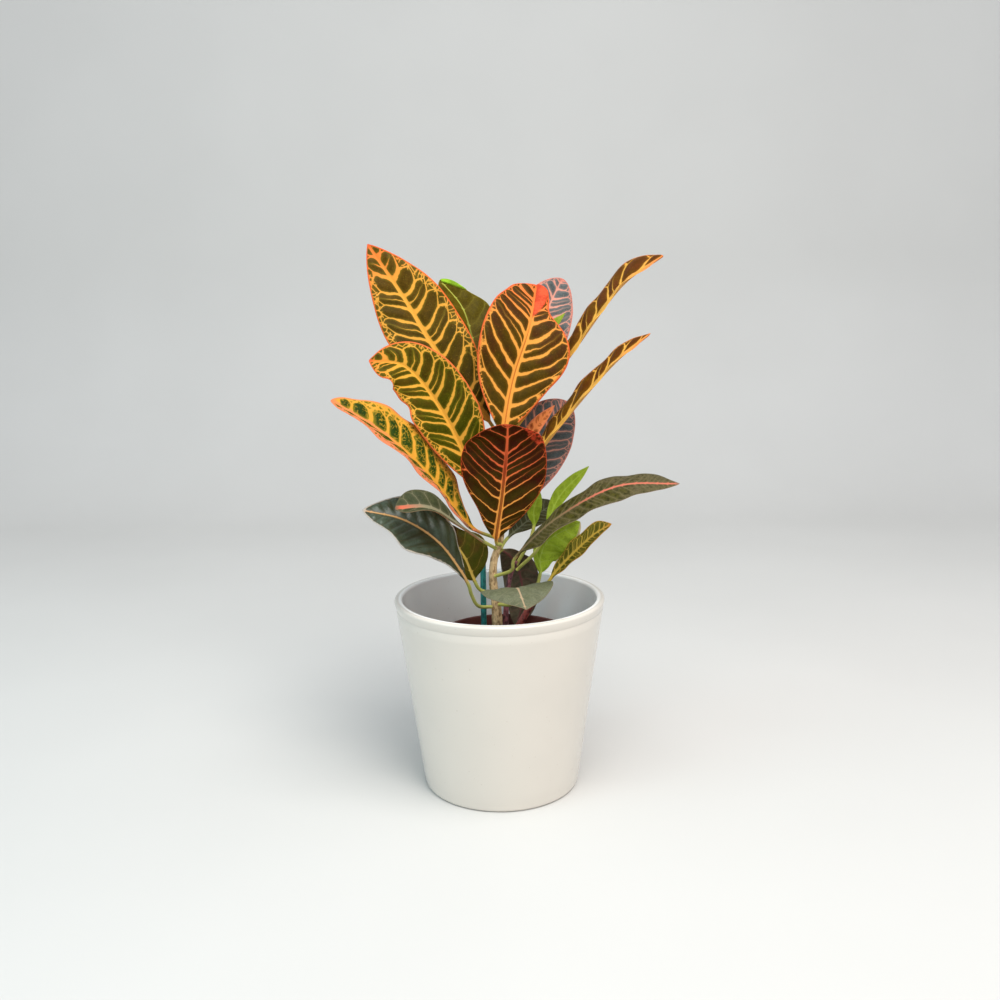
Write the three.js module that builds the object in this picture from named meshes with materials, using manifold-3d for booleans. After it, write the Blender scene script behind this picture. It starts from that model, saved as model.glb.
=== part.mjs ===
// Potted croton: a croton plant rooted in its nursery pot, which stands in a white glazed cover pot.
// Millimetres, +Z up, -Y towards the front. The origin is the centre of the cover pot's flat underside.
import * as THREE from 'three';
import { mergeVertices } from 'three/addons/utils/BufferGeometryUtils.js';
import Module from 'manifold-3d';

const wasm = await Module();
wasm.setup();

// Driving dimensions of the cover pot
const COVER_HEIGHT = 158;
const COVER_RIM_RADIUS = 85;
const COVER_BASE_RADIUS = 63.5;
const COVER_WALL = 6.6;
const COVER_FLOOR = 8;
const COVER_LIP = 2;
const COVER_FOOT = 3;
const RIM_BAND = 7;
const RIM_STEP = 0.5;
const COVER_SIDES = 48;

// Driving dimensions of the nursery pot, which stands a little off the cover pot's axis
const NURSERY_RIM_RADIUS = 54;
const NURSERY_BASE_RADIUS = 41;
const NURSERY_TOP = 125;
const NURSERY_WALL = 1.4;
const NURSERY_BAND = 9;
const NURSERY_X = 4;
const NURSERY_SIDES = 40;
const DRAIN_HOLES = 6;
const DRAIN_RADIUS = 4;
const DRAIN_CIRCLE = 26;
const DRAIN_SIDES = 10;

// Soil, which fills the nursery pot and is slightly heaped
const SOIL_TOP = 117;
const SOIL_EDGE = 115;
const SOIL_FLAT_RADIUS = 25;

// Clearance between pieces that touch, and how deep the stake stands in the soil
const GAP = 0.3;
const STAKE_DEPTH = 45;

// Leaf blade: half its thickness, the stalk's radius, and the radius left at the very tip
const BLADE_HALF = 0.4;
const STALK_RADIUS = 1.4;
const TIP_RADIUS = 0.6;

// Number of steps in the faceted solids
const STEM_SIDES = 10;
const STEP_LENGTH = 11;
const STALK_STEP = 5;

// Finish of each kind of piece: colour and roughness
const FINISH = {
  glaze: [0xece9e0, 0.15],
  nursery: [0x5a2417, 0.6],
  soil: [0x3a2a1e, 0.95],
  bark: [0xb49a6c, 0.85],
  brownStem: [0x5c3a30, 0.7],
  redStem: [0x7a2f30, 0.6],
  stake: [0x14716b, 0.6],
  yellowVeined: [0x6b5a1c, 0.4],
  goldVeined: [0xb58a2c, 0.4],
  pinkVeined: [0x6a6a66, 0.35],
  olive: [0x4c5210, 0.4],
  blueGreen: [0x46584f, 0.35],
  grey: [0x5f6450, 0.4],
  maroon: [0x4a1a10, 0.4],
  lime: [0x72a51d, 0.4],
  yellowGreen: [0x8f8624, 0.4],
  oldLeaf: [0x33201f, 0.55],
};

// Stems: centreline points from inside the soil to the top, with the radius at each point
const STEMS = {
  main_stem: {
    finish: 'bark',
    points: [[-2, 0, 95], [-2, 0, 116], [-2, 0, 134], [-3, 0, 152], [-5, 0, 170],
      [-4, 0, 187], [1, 0, 203], [4, 0, 222], [5, 1, 250], [6, 2, 276], [7, 4, 299]],
    radii: [4.8, 4.8, 4.6, 4, 3.5, 3.1, 2.8, 2.6, 2.4, 2.3, 1.8],
  },
  second_stem: {
    finish: 'brownStem',
    points: [[5, 11, 97], [5, 11, 116], [5, 11, 134], [6, 11, 152], [9, 12, 170], [14, 12, 183]],
    radii: [2.4, 2.4, 2.4, 2.2, 2, 1.8],
  },
  side_shoot: {
    finish: 'redStem',
    points: [[12, 5, 97], [12, 5, 109], [12, 5, 119], [14, 5, 126], [18, 5, 134], [28, 7, 151],
      [35, 9, 163]],
    radii: [3, 3, 3, 3, 3, 2.7, 2.2],
  },
};

// The stake stands upright beside the main stem
const STAKE = { x: -13, y: 2, top: 194, radius: 2.4 };

// Leaves. Each is rooted on a stem at a height and a bearing (degrees, 0 is right, 90 is back), then
// follows its path: the first `stalk` points end the stalk, and the last point is the tip. `face` is
// the way the upper side looks, `fold` lifts each half from the midrib, `turn` rolls the blade about
// it, `outline` holds the powers that narrow it towards base and tip, and `wave` is the margin's
// height and number of waves. Each row of `swell` widens one half of the blade (1 or -1) around a
// place along it: half, place, spread, amount.
const LEAVES = [
  { name: 'leaf_top_left', root: ['main_stem', 281, 165], stalk: 1, finish: 'yellowVeined',
    path: [[-6, 10, 298], [-48, 32, 353], [-75, 44, 397], [-103, 50, 439]],
    face: [0.25, -1, 0.25], width: 64, outline: [0.95, 0.9], fold: 8, turn: 0, wave: [1.2, 3] },
  { name: 'leaf_mid_left', root: ['main_stem', 226, 190], stalk: 1, finish: 'yellowVeined',
    path: [[-14, -3, 247], [-40, 2, 302], [-69, 4, 341], [-99, 0, 348]],
    face: [-0.1, -1, 0.4], width: 58, outline: [0.9, 0.8], fold: 20, turn: 14, wave: [1, 3],
    swell: [[-1, 0.86, 0.1, 0.4], [-1, 0.96, 0.05, 0.9], [-1, 0.6, 0.05, -0.15]] },
  { name: 'leaf_centre', root: ['main_stem', 272, 280], stalk: 1, finish: 'yellowVeined',
    path: [[5, -5, 289], [13, 10, 331], [27, 24, 372], [34, 50, 405]],
    face: [0.1, -1, 0.2], width: 74, outline: [0.9, 0.6], fold: 10, turn: 0, wave: [1, 3],
    swell: [[1, 0.8, 0.13, -0.55], [1, 0.95, 0.1, -0.25], [1, 0.5, 0.15, 0.05], [-1, 0.97, 0.05, 0.2]] },
  { name: 'leaf_top_right', root: ['main_stem', 284, 20], stalk: 1, finish: 'yellowVeined',
    path: [[19, 12, 298], [59, 36, 347], [101, 42, 402], [134, 34, 426]],
    face: [-0.72, -0.16, 0.66], width: 44, outline: [0.9, 0.5], fold: 14, turn: 0, wave: [1, 4],
    swell: [[-1, 0.85, 0.1, 0.3]] },
  { name: 'leaf_mid_right', root: ['main_stem', 239, 10], stalk: 1, finish: 'yellowVeined',
    path: [[14, 3, 250], [55, 6, 301], [92, 4, 343], [119, -4, 366]],
    face: [-0.74, -0.11, 0.67], width: 42, outline: [0.9, 0.7], fold: 13, turn: 0, wave: [1, 4] },
  { name: 'leaf_back_right', root: ['main_stem', 290, 80], stalk: 1, finish: 'pinkVeined',
    path: [[13, 20, 300], [30, 60, 353], [46, 78, 390], [57, 88, 411]],
    face: [0.1, -1, 0.3], width: 50, outline: [0.9, 0.6], fold: 8, turn: 0, wave: [1, 3] },
  { name: 'leaf_low_back_right', root: ['main_stem', 216, 60], stalk: 1, finish: 'pinkVeined',
    path: [[12, 15, 226], [28, 32, 261], [41, 40, 287], [59, 44, 310]],
    face: [0.1, -1, 0.3], width: 50, outline: [0.9, 0.6], fold: 8, turn: 0, wave: [1, 3] },
  { name: 'leaf_back_left', root: ['main_stem', 292, 130], stalk: 1, finish: 'olive',
    path: [[2, 24, 304], [-17, 62, 352], [-28, 80, 387], [-47, 84, 411]],
    face: [0.5, -1, 0.3], width: 50, outline: [0.9, 0.7], fold: 12, turn: 0, wave: [1.5, 2],
    swell: [[1, 0.85, 0.15, -0.3], [1, 0.76, 0.06, 0.25]] },
  { name: 'leaf_long_left', root: ['main_stem', 205, 195], stalk: 1, finish: 'goldVeined',
    path: [[-17, -3, 212], [-28, -8, 222], [-55, -24, 263], [-86, -34, 295], [-123, -42, 321]],
    face: [0.3, -0.6, 1], width: 56, outline: [0.9, 0.7], fold: 20, turn: 9, wave: [1.5, 4] },
  { name: 'leaf_low_left', root: ['main_stem', 149, 215], stalk: 3, finish: 'blueGreen',
    path: [[-17, -14, 153], [-22, -20, 164], [-26, -26, 178], [-45, -38, 210], [-71, -44, 230],
      [-102, -48, 239]],
    face: [0, -0.6, 1], width: 50, outline: [1.2, 0.9], fold: 8, turn: 0, wave: [1.5, 3],
    swell: [[-1, 0.65, 0.2, 0.25], [-1, 0.25, 0.15, -0.3]] },
  { name: 'leaf_folded_left', root: ['main_stem', 197, 240], stalk: 1, finish: 'grey',
    path: [[-13, -24, 209], [-31, -46, 227], [-51, -63, 243], [-75, -69, 244]],
    face: [0.2, -0.5, 1], width: 30, outline: [3.2, 0.8], fold: 22, turn: -5, wave: [1, 2],
    swell: [[-1, 0.7, 0.4, -0.5]] },
  { name: 'leaf_by_stake', root: ['main_stem', 162, 235], stalk: 2, finish: 'olive',
    path: [[-15, -10, 165], [-20, -15, 175], [-27, -18, 194], [-37, -18, 209], [-45, -17, 221]],
    face: [0.1, -1, 0.4], width: 44, outline: [0.8, 0.9], fold: 15, turn: 20, wave: [0.8, 2],
    swell: [[1, 0.75, 0.2, -0.3], [-1, 0.4, 0.5, -0.5]] },
  { name: 'leaf_front', root: ['main_stem', 201, 292], stalk: 1, finish: 'maroon',
    path: [[-2, -11, 207], [3, -22, 243], [7, -34, 281], [8, -56, 303]],
    face: [0, 1, 0.5], width: 64, outline: [0.9, 0.65], fold: 6, turn: 0, wave: [1, 3],
    swell: [[1, 0.62, 0.2, 0.07], [1, 0.2, 0.12, -0.15], [-1, 0.45, 0.1, 0.05]] },
  { name: 'leaf_long_right', root: ['main_stem', 175, 290], stalk: 2, finish: 'grey',
    path: [[10, -13, 182], [14, -19, 195], [44, -28, 226], [90, -34, 252], [139, -30, 253]],
    face: [0, -0.35, 1], width: 36, outline: [1.1, 0.7], fold: -4, turn: 0, wave: [1, 4],
    swell: [[1, 0.14, 0.12, 1], [1, 0.93, 0.1, -0.4], [-1, 0.93, 0.08, 0.6]] },
  { name: 'leaf_low_front', root: ['main_stem', 151, 300], stalk: 2, finish: 'blueGreen',
    path: [[9, -11, 153], [10, -15, 160], [14, -30, 172], [20, -62, 164]],
    face: [0, -0.2, 1], width: 58, outline: [0.6, 1.1], fold: 0, turn: 0, wave: [2, 1] },
  { name: 'leaf_drooping', root: ['main_stem', 186, 75], stalk: 1, finish: 'oldLeaf',
    path: [[3, 14, 192], [15, 34, 174], [20, 42, 145], [14, 42, 118]],
    face: [0, 1, 0.6], width: 31, outline: [0.8, 0.7], fold: 5, turn: 0, wave: [1.5, 3] },
  { name: 'leaf_behind_front', root: ['main_stem', 196, 50], stalk: 1, finish: 'blueGreen',
    path: [[8, 21, 201], [27, 46, 211], [50, 58, 223]],
    face: [-0.3, -0.7, 1], width: 34, outline: [1.3, 0.7], fold: 8, turn: 0, wave: [1, 2] },
  { name: 'leaf_sliver_right', root: ['main_stem', 254, 25], stalk: 1, finish: 'yellowGreen',
    path: [[13, 7, 264], [29, 12, 291], [46, 14, 310]],
    face: [-0.3, -1, 0.4], width: 12, outline: [0.9, 0.9], fold: 12, turn: 0, wave: [0.5, 2] },
  { name: 'leaf_young_top', root: ['main_stem', 297, 45], stalk: 1, finish: 'lime',
    path: [[14, 22, 308], [34, 46, 357], [57, 58, 382]],
    face: [-0.3, -1, 0.4], width: 16, outline: [0.9, 0.9], fold: 12, turn: 0, wave: [0.5, 2] },
  { name: 'leaf_lime_long', root: ['second_stem', 177, 340], stalk: 2, finish: 'lime',
    path: [[31, 1, 195], [39, 0, 215], [50, 7, 238], [73, 10, 261]],
    face: [-0.3, -1, 0.4], width: 12, outline: [0.9, 0.9], fold: 12, turn: 0, wave: [0.5, 3] },
  { name: 'leaf_lime_short', root: ['second_stem', 180, 60], stalk: 2, finish: 'lime',
    path: [[25, 12, 199], [29, 13, 213], [29, 13, 226], [34, 12, 240]],
    face: [0.1, -1, 0.3], width: 12, outline: [0.9, 0.9], fold: 12, turn: 0, wave: [0.5, 2] },
  { name: 'leaf_lime_broad', root: ['side_shoot', 155, 100], stalk: 1, finish: 'lime',
    path: [[34, 16, 172], [34, 20, 184], [42, 21, 199], [67, 17, 214]],
    face: [0.2, -1, 0.4], width: 37, outline: [0.7, 0.7], fold: 25, turn: 30, wave: [0.4, 1] },
  { name: 'leaf_low_right', root: ['side_shoot', 157, 0], stalk: 1, finish: 'yellowGreen',
    path: [[42, 10, 168], [55, 8, 184], [76, 5, 205], [91, 3, 215]],
    face: [-0.3, -0.6, 1], width: 20, outline: [0.9, 0.7], fold: 12, turn: 0, wave: [0.8, 3],
    swell: [[1, 0.9, 0.1, -0.3], [-1, 0.9, 0.1, 0.5]] },
];

const croton = new THREE.Group();

function addPiece(name, geometry, finish, x = 0, y = 0, z = 0) {
  const [color, roughness] = FINISH[finish];
  const mesh = new THREE.Mesh(geometry, new THREE.MeshStandardMaterial({ color, roughness, metalness: 0 }));
  mesh.name = name;
  mesh.position.set(x, y, z);
  croton.add(mesh);
}

// Solids for cutting holes: a closed mesh with its shared vertices merged
function toSolid(geometry) {
  const bare = geometry.clone();
  bare.deleteAttribute('normal');
  bare.deleteAttribute('uv');
  const merged = mergeVertices(bare, 1e-4);
  const index = Array.from(merged.index.array);
  const triVerts = [];
  for (let i = 0; i < index.length; i += 3) {
    const [a, b, c] = index.slice(i, i + 3);
    if (a !== b && b !== c && c !== a) {
      triVerts.push(a, b, c);
    }
  }
  return new wasm.Manifold(new wasm.Mesh({
    numProp: 3,
    vertProperties: new Float32Array(merged.attributes.position.array),
    triVerts: new Uint32Array(triVerts),
  }));
}

function toGeometry(solid) {
  const mesh = solid.getMesh();
  const geometry = new THREE.BufferGeometry();
  geometry.setAttribute('position', new THREE.BufferAttribute(mesh.vertProperties, 3));
  geometry.setIndex(new THREE.BufferAttribute(mesh.triVerts, 1));
  return geometry;
}

// An upright cylinder between two heights
function post(x, y, low, high, radius, sides) {
  const geometry = new THREE.CylinderGeometry(radius, radius, high - low, sides);
  geometry.rotateX(Math.PI / 2);
  geometry.translate(x, y, (low + high) / 2);
  return geometry;
}

// A turned piece: its profile, as [radius, height] points from the axis round to the axis
function turned(profile, sides) {
  const geometry = new THREE.LatheGeometry(profile.map(([r, z]) => new THREE.Vector2(r, z)), sides);
  geometry.rotateX(Math.PI / 2);
  return geometry;
}

// Points of a quarter-like arc in a profile, angles in degrees from the outward direction
function arc(radius, height, size, from, to, steps) {
  const points = [];
  for (let i = 0; i <= steps; i += 1) {
    const angle = THREE.MathUtils.degToRad(from + ((to - from) * i) / steps);
    points.push([radius + size * Math.cos(angle), height + size * Math.sin(angle)]);
  }
  return points;
}

// The cover pot: a conical wall with a rounded lip, a faint step under the rim and a flat underside
function coverPot() {
  const slope = (COVER_RIM_RADIUS - COVER_BASE_RADIUS) / COVER_HEIGHT;
  const outer = (z) => COVER_BASE_RADIUS + slope * z;
  const inner = (z) => outer(z) - COVER_WALL;
  const bandFoot = COVER_HEIGHT - RIM_BAND;
  return turned([
    [0, 0],
    ...arc(COVER_BASE_RADIUS - COVER_FOOT, COVER_FOOT, COVER_FOOT, -90, 0, 3),
    [outer(bandFoot - 1) - RIM_STEP, bandFoot - 1],
    [outer(bandFoot), bandFoot],
    ...arc(COVER_RIM_RADIUS - COVER_LIP, COVER_HEIGHT - COVER_LIP, COVER_LIP, 0, 90, 3),
    ...arc(COVER_RIM_RADIUS - COVER_WALL + COVER_LIP, COVER_HEIGHT - COVER_LIP, COVER_LIP, 90, 180, 3),
    [inner(COVER_FLOOR + 2 * COVER_FOOT), COVER_FLOOR + 2 * COVER_FOOT],
    [inner(COVER_FLOOR) - COVER_FOOT, COVER_FLOOR + COVER_FOOT / 2],
    [inner(COVER_FLOOR) - 2 * COVER_FOOT, COVER_FLOOR],
    [0, COVER_FLOOR],
  ], COVER_SIDES);
}

const nurseryFoot = COVER_FLOOR + GAP;
const nurserySlope = (NURSERY_RIM_RADIUS - NURSERY_BASE_RADIUS) / (NURSERY_TOP - nurseryFoot);
const nurseryOuter = (z) => NURSERY_BASE_RADIUS + nurserySlope * (z - nurseryFoot);
const nurseryInner = (z) => nurseryOuter(z) - NURSERY_WALL;

// The nursery pot: a thin tapered pot with a thickened rim band and drain holes in its floor
function nurseryPot() {
  const bandFoot = NURSERY_TOP - NURSERY_BAND;
  const shell = turned([
    [0, nurseryFoot],
    [NURSERY_BASE_RADIUS, nurseryFoot],
    [nurseryOuter(bandFoot), bandFoot],
    [NURSERY_RIM_RADIUS + 1, bandFoot + 1],
    [NURSERY_RIM_RADIUS + 1.5, NURSERY_TOP],
    [NURSERY_RIM_RADIUS - NURSERY_WALL, NURSERY_TOP],
    [nurseryInner(nurseryFoot + NURSERY_WALL), nurseryFoot + NURSERY_WALL],
    [0, nurseryFoot + NURSERY_WALL],
  ], NURSERY_SIDES);
  let solid = toSolid(shell);
  for (let i = 0; i < DRAIN_HOLES; i += 1) {
    const angle = (2 * Math.PI * i) / DRAIN_HOLES;
    const [x, y] = [DRAIN_CIRCLE * Math.cos(angle), DRAIN_CIRCLE * Math.sin(angle)];
    const drain = post(x, y, nurseryFoot - 1, nurseryFoot + NURSERY_WALL + 1, DRAIN_RADIUS, DRAIN_SIDES);
    solid = solid.subtract(toSolid(drain));
  }
  return toGeometry(solid);
}

const stakeFoot = SOIL_TOP - STAKE_DEPTH;

// The soil: it fills the nursery pot, with a plain hole for each stem and for the stake
function soil() {
  const floor = nurseryFoot + NURSERY_WALL + GAP;
  const bulk = turned([
    [0, floor],
    [nurseryInner(floor) - 2 * GAP, floor],
    [nurseryInner(SOIL_EDGE) - 2 * GAP, SOIL_EDGE],
    [SOIL_FLAT_RADIUS, SOIL_TOP],
    [0, SOIL_TOP],
  ], NURSERY_SIDES);
  bulk.translate(NURSERY_X, 0, 0);
  let solid = toSolid(bulk);
  for (const stem of Object.values(STEMS)) {
    const [x, y, foot] = stem.points[0];
    const hole = post(x, y, foot - GAP, SOIL_TOP + 10, stem.radii[0] + GAP, STEM_SIDES);
    solid = solid.subtract(toSolid(hole));
  }
  const slot = post(STAKE.x, STAKE.y, stakeFoot - GAP, SOIL_TOP + 10, STAKE.radius + GAP, STEM_SIDES);
  return toGeometry(solid.subtract(toSolid(slot)));
}

// One closed solid through a row of rings. Each ring goes left to right over its top half and back
// under its bottom half, so point j lies over point `last - j`. The ends are closed the same way,
// and every quad is split alike, so that the two faces of a thin blade never cross.
function loft(rings) {
  const count = rings[0].length;
  const half = count / 2;
  const positions = rings.flat().flatMap((p) => [p.x, p.y, p.z]);
  const index = [];
  for (let i = 0; i + 1 < rings.length; i += 1) {
    for (let j = 0; j < count; j += 1) {
      const next = (j + 1) % count;
      const [a, b] = [i * count + j, i * count + next];
      const [c, d] = [a + count, b + count];
      if (j < half) {
        index.push(a, b, d, a, d, c);
      } else {
        index.push(a, b, c, b, d, c);
      }
    }
  }
  const end = (rings.length - 1) * count;
  for (let j = 0; j + 1 < half; j += 1) {
    const [a, b, c, d] = [j, j + 1, count - 2 - j, count - 1 - j];
    index.push(a, d, c, a, c, b);
    index.push(end + a, end + b, end + c, end + a, end + c, end + d);
  }
  const geometry = new THREE.BufferGeometry();
  geometry.setAttribute('position', new THREE.Float32BufferAttribute(positions, 3));
  geometry.setIndex(index);
  return geometry;
}

const vector = ([x, y, z]) => new THREE.Vector3(x, y, z);
const curveThrough = (points) => new THREE.CatmullRomCurve3(points.map(vector), false, 'catmullrom', 0.5);

// A tapered round stem along its centreline
function stemGeometry({ points, radii }) {
  const curve = curveThrough(points);
  const steps = 2 * (points.length - 1);
  const rings = [];
  for (let i = 0; i <= steps; i += 1) {
    const t = i / steps;
    const centre = curve.getPoint(t);
    const along = curve.getTangent(t);
    const side = new THREE.Vector3().crossVectors(along, new THREE.Vector3(0, -1, 0)).normalize();
    const out = new THREE.Vector3().crossVectors(side, along);
    const place = t * (radii.length - 1);
    const before = Math.min(Math.floor(place), radii.length - 2);
    const radius = THREE.MathUtils.lerp(radii[before], radii[before + 1], place - before);
    const ring = [];
    for (let j = 0; j < STEM_SIDES; j += 1) {
      const angle = Math.PI - (2 * Math.PI * (j + 0.5)) / STEM_SIDES;
      ring.push(centre.clone()
        .addScaledVector(side, radius * Math.cos(angle))
        .addScaledVector(out, radius * Math.sin(angle)));
    }
    rings.push(ring);
  }
  return loft(rings);
}

// Where a leaf's stalk starts: just off the bark of its stem, with room for the stalk's own edge
function rootPoint([stemName, height, bearing], next) {
  const { points, radii } = STEMS[stemName];
  let k = 0;
  while (k < points.length - 2 && points[k + 1][2] < height) {
    k += 1;
  }
  const share = (height - points[k][2]) / (points[k + 1][2] - points[k][2]);
  const axis = vector(points[k]).lerp(vector(points[k + 1]), share);
  const radius = THREE.MathUtils.lerp(radii[k], radii[k + 1], share);
  const angle = THREE.MathUtils.degToRad(bearing);
  const stemWay = vector(points[k + 1]).sub(vector(points[k])).normalize();
  const outward = new THREE.Vector3(Math.cos(angle), Math.sin(angle), 0);
  outward.addScaledVector(stemWay, -stemWay.dot(outward)).normalize();
  const heading = vector(next).sub(axis).normalize();
  const slant = Math.sqrt(1 - heading.dot(outward) ** 2);
  return axis.addScaledVector(outward, radius + GAP + STALK_RADIUS * slant);
}

const smooth = (x) => THREE.MathUtils.smoothstep(x, 0, 1);

// A leaf, stalk and blade in one. Cross-sections follow the path by arc length. Across a section the
// angle to the midrib's own plane grows from the fold, so the half-blade is a bent strip; the margin
// waves, and the underside is thicker along the midrib. The stalk is a round section that
// flattens into the blade.
function leafGeometry(leaf) {
  const start = rootPoint(leaf.root, leaf.path[0]);
  const points = [start.toArray(), ...leaf.path];
  const curve = curveThrough(points);
  curve.arcLengthDivisions = 400;
  const lengths = curve.getLengths();
  const total = lengths[lengths.length - 1];
  const stalkEnd = lengths[Math.round((lengths.length - 1) * (leaf.stalk / (points.length - 1)))];
  const stations = [];
  const stalkSteps = Math.max(2, Math.round(stalkEnd / STALK_STEP));
  for (let i = 0; i < stalkSteps; i += 1) {
    stations.push((stalkEnd * i) / stalkSteps);
  }
  const bladeSteps = Math.max(8, Math.round((total - stalkEnd) / STEP_LENGTH));
  for (let i = 0; i <= bladeSteps; i += 1) {
    stations.push(stalkEnd + ((total - stalkEnd) * i) / bladeSteps);
  }
  const columns = leaf.width > 30 ? 7 : 5;
  const [basePower, tipPower] = leaf.outline;
  const widest = basePower / (basePower + tipPower);
  const face = vector(leaf.face);
  const turn = THREE.MathUtils.degToRad(leaf.turn);
  const [waveHeight, waveCount] = leaf.wave;
  const rings = stations.map((station) => {
    const share = Math.min(station / total, 1);
    const centre = curve.getPointAt(share);
    const along = curve.getTangentAt(share);
    const up = face.clone().addScaledVector(along, -face.dot(along)).normalize();
    const side = new THREE.Vector3().crossVectors(along, up);
    up.applyAxisAngle(along, turn);
    side.applyAxisAngle(along, turn);
    const t = (station - stalkEnd) / (total - stalkEnd);
    const inside = THREE.MathUtils.clamp(t, 0, 1);
    const outline = t <= 0 ? 0
      : (inside / widest) ** basePower * ((1 - inside) / (1 - widest)) ** tipPower;
    const halfWidth = (across) => {
      let factor = 1;
      for (const [half, place, spread, amount] of leaf.swell ?? []) {
        factor += half * across > 0 ? amount * Math.exp(-(((inside - place) / spread) ** 2)) : 0;
      }
      const core = THREE.MathUtils.lerp(STALK_RADIUS, TIP_RADIUS, inside);
      return Math.hypot((leaf.width / 2) * outline * factor, core);
    };
    const round = 1 - smooth((t + 0.06) / 0.16);
    const fold = THREE.MathUtils.degToRad(leaf.fold) * (1 - round);
    const rib = (1 - round) * 0.8 * STALK_RADIUS * (1 - inside);
    const top = [];
    const bottom = [];
    for (let j = 0; j < columns; j += 1) {
      const across = (2 * j) / (columns - 1) - 1;
      const half = halfWidth(across);
      const wave = (1 - round) * waveHeight * across * across * Math.sqrt(outline)
        * Math.sin(2 * Math.PI * waveCount * inside + across);
      const reach = half * across * Math.cos(fold);
      const lift = half * Math.abs(across) * Math.sin(fold) + wave;
      const normal = up.clone().multiplyScalar(Math.cos(fold))
        .addScaledVector(side, -Math.sign(across) * Math.sin(fold));
      const thick = BLADE_HALF + round * (STALK_RADIUS - BLADE_HALF) * Math.sqrt(1 - across * across);
      const middle = centre.clone().addScaledVector(side, reach).addScaledVector(up, lift);
      top.push(middle.clone().addScaledVector(normal, thick));
      bottom.push(middle.addScaledVector(normal, -thick - (across === 0 ? rib : 0)));
    }
    return [...top, ...bottom.reverse()];
  });
  return loft(rings);
}

addPiece('cover_pot', coverPot(), 'glaze');
addPiece('nursery_pot', nurseryPot(), 'nursery', NURSERY_X);
addPiece('soil', soil(), 'soil');
for (const [name, stem] of Object.entries(STEMS)) {
  addPiece(name, stemGeometry(stem), stem.finish);
}
addPiece('stake', post(STAKE.x, STAKE.y, stakeFoot, STAKE.top, STAKE.radius, STEM_SIDES), 'stake');
for (const leaf of LEAVES) {
  addPiece(leaf.name, leafGeometry(leaf), leaf.finish);
}

export default croton;
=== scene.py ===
"""Potted croton in a white cover pot: its looks, the floor, the lights and the camera.

Sizes in the tables are millimetres, as in the part, and colours are sRGB whole numbers. Everything
is placed in metres.
"""
import math

import bpy
import numpy as np
from mathutils import Matrix, Vector


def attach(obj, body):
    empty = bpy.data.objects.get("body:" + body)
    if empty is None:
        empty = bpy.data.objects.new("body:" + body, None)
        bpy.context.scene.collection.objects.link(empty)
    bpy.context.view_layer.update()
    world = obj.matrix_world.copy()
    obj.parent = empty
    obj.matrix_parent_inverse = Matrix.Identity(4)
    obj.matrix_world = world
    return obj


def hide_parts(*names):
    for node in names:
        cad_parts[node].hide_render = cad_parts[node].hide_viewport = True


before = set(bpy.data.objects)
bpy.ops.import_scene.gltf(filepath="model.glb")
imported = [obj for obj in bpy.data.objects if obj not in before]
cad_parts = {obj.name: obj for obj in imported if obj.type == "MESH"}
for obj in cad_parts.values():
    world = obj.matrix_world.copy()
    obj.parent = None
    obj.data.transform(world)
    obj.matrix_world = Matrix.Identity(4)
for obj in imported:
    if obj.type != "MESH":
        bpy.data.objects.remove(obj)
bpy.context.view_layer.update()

MM = 0.001

# Stems: centreline points and the radius at each
STEMS = {
    "main_stem": {
        "slot": "bark",
        "points": [[-2, 0, 95], [-2, 0, 116], [-2, 0, 134], [-3, 0, 152], [-5, 0, 170],
                   [-4, 0, 187], [1, 0, 203], [4, 0, 222], [5, 1, 250], [6, 2, 276], [7, 4, 299]],
        "radii": [4.8, 4.8, 4.6, 4, 3.5, 3.1, 2.8, 2.6, 2.4, 2.3, 1.8],
    },
    "second_stem": {
        "slot": "brown_stem",
        "points": [[5, 11, 97], [5, 11, 116], [5, 11, 134], [6, 11, 152], [9, 12, 170],
                   [14, 12, 183]],
        "radii": [2.4, 2.4, 2.4, 2.2, 2, 1.8],
    },
    "side_shoot": {
        "slot": "red_stem",
        "points": [[12, 5, 97], [12, 5, 109], [12, 5, 119], [14, 5, 126], [18, 5, 134],
                   [28, 7, 151], [35, 9, 163]],
        "radii": [3, 3, 3, 3, 3, 2.7, 2.2],
    },
}
STAKE = {"points": [[-13, 2, 72], [-13, 2, 130], [-13, 2, 194]], "radius": 2.4}

# Leaves, as in the part, but for 0.02 mm at the tip of leaf_back_right that keep its finer surface
# inside the solid's box. `root` is the height on the stem and the bearing that a stalk starts from,
# `path` the points that it then passes, and `stalk` the number of the point where the blade begins.
# `face` is the way the upper side looks, `width` the greatest width, `outline` the powers that
# shape the width at base and tip; `fold` is how many degrees each half rises, `turn` how many the
# blade turns about its path, `wave` the height and number of the margin's waves. `swell` lists
# widenings: which half (1 or -1), place, spread and amount.
# For the looks alone, `spacing` is the distance between side veins, `look` names the colouring, and
# `quilt` is how far the blade rises between side veins, as a share of their spacing. `patch` is a
# stretch of another colour: which half, start, end, whether it lies at midrib or margin, depth,
# rise and colour; a `broken` one has gaps. `blush` names the half whose veins have the margin's
# colour, and `lit_half` the half painted all over in the veins' colour, as painted light on it.
PLAIN_LEAF = {"stem": "main_stem", "stalk": 1, "face": [0.1, -1, 0.3], "outline": [0.9, 0.9],
              "fold": 12, "turn": 0, "wave": [1, 3], "swell": [], "quilt": 0.035}
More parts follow.
